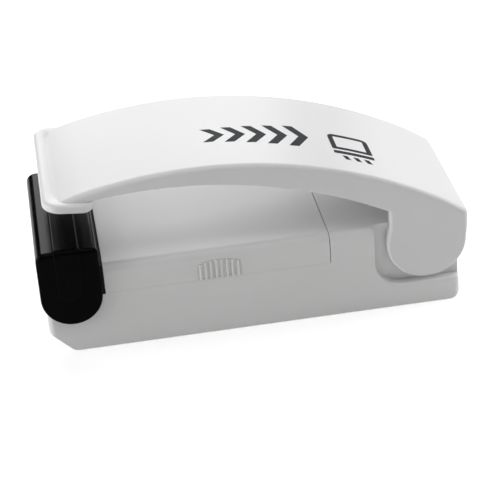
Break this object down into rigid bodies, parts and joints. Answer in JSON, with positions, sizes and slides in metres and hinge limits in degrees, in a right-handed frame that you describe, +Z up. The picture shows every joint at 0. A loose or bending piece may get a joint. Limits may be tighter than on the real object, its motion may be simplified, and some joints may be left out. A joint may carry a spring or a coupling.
{
  "type": "hand-held bag sealer",
  "caption": "Palm-sized heat sealer for plastic bags: battery base, swing-away heater guard, floating heater bar and sprung arched press arm.",
  "frame": {"origin": "on the table, under the middle of the whole outline", "axes": "+X from the heater nose to the hinge, +Y away from the camera in the picture, +Z up"},
  "size_m": [0.1002, 0.0438, 0.0428],
  "materials": {
    "body_white": "satin moulded ABS",
    "arm_white": "satin moulded ABS",
    "guard_black": "gloss",
    "head_black": "matt",
    "heater_bar": "matt heat-resistant moulding",
    "heater_metal": "rolled strip",
    "tape_tan": "coated glass cloth",
    "contact_brass": "stamped",
    "spring_steel": "drawn wire",
    "zinc_steel": "zinc plated",
    "cell_jacket": "printed film jacket",
    "pad_silicone": "soft matt"
  },
  "bodies": {
    "base": {"base_housing": "body_white", "bottom_plate": "body_white", "base_screws": "zinc_steel", "head_frame": "head_black", "heater_spring_near": "spring_steel", "heater_spring_far": "spring_steel", "switch_plate_near": "contact_brass", "switch_plate_far": "contact_brass", "cell_near": "cell_jacket", "cell_far": "cell_jacket", "cell_spring_front": "spring_steel", "cell_spring_rear": "spring_steel", "bridge_plate": "contact_brass", "hinge_shaft": "zinc_steel", "return_spring": "spring_steel"},
    "arm": {"press_arm": "arm_white", "pad_holder": "head_black", "silicone_pad": "pad_silicone"},
    "guard": {"guard": "guard_black"},
    "cover": {"battery_cover": "body_white"},
    "heater": {"heater_block": "heater_bar", "heater_strip": "heater_metal", "release_tape": "tape_tan", "head_contact_near": "contact_brass", "head_contact_far": "contact_brass"}
  },
  "joints": [
    {"name": "arm_press", "type": "hinge", "parent": "base", "child": "arm", "pos_m": [0.04013, 0, 0.0164], "axis": [0, -1, 0], "range_deg": [0, 6], "stiffness_Nm_per_rad": 1, "springref_deg": -11.46, "deforming": ["silicone_pad", "return_spring"]},
    {"name": "guard_swing", "type": "hinge", "parent": "base", "child": "guard", "pos_m": [-0.04303, 0, 0.01505], "axis": [0, -1, 0], "range_deg": [0, 95]},
    {"name": "battery_cover_lift", "type": "slide", "parent": "base", "child": "cover", "axis": [0, 0, 1], "range_m": [0, 0.006]},
    {"name": "heater_float", "type": "slide", "parent": "base", "child": "heater", "axis": [0, 0, -1], "range_m": [0, 0.0008], "stiffness_N_per_m": 900, "springref_m": -0.0012, "deforming": ["heater_spring_near", "heater_spring_far"]}
  ]
}
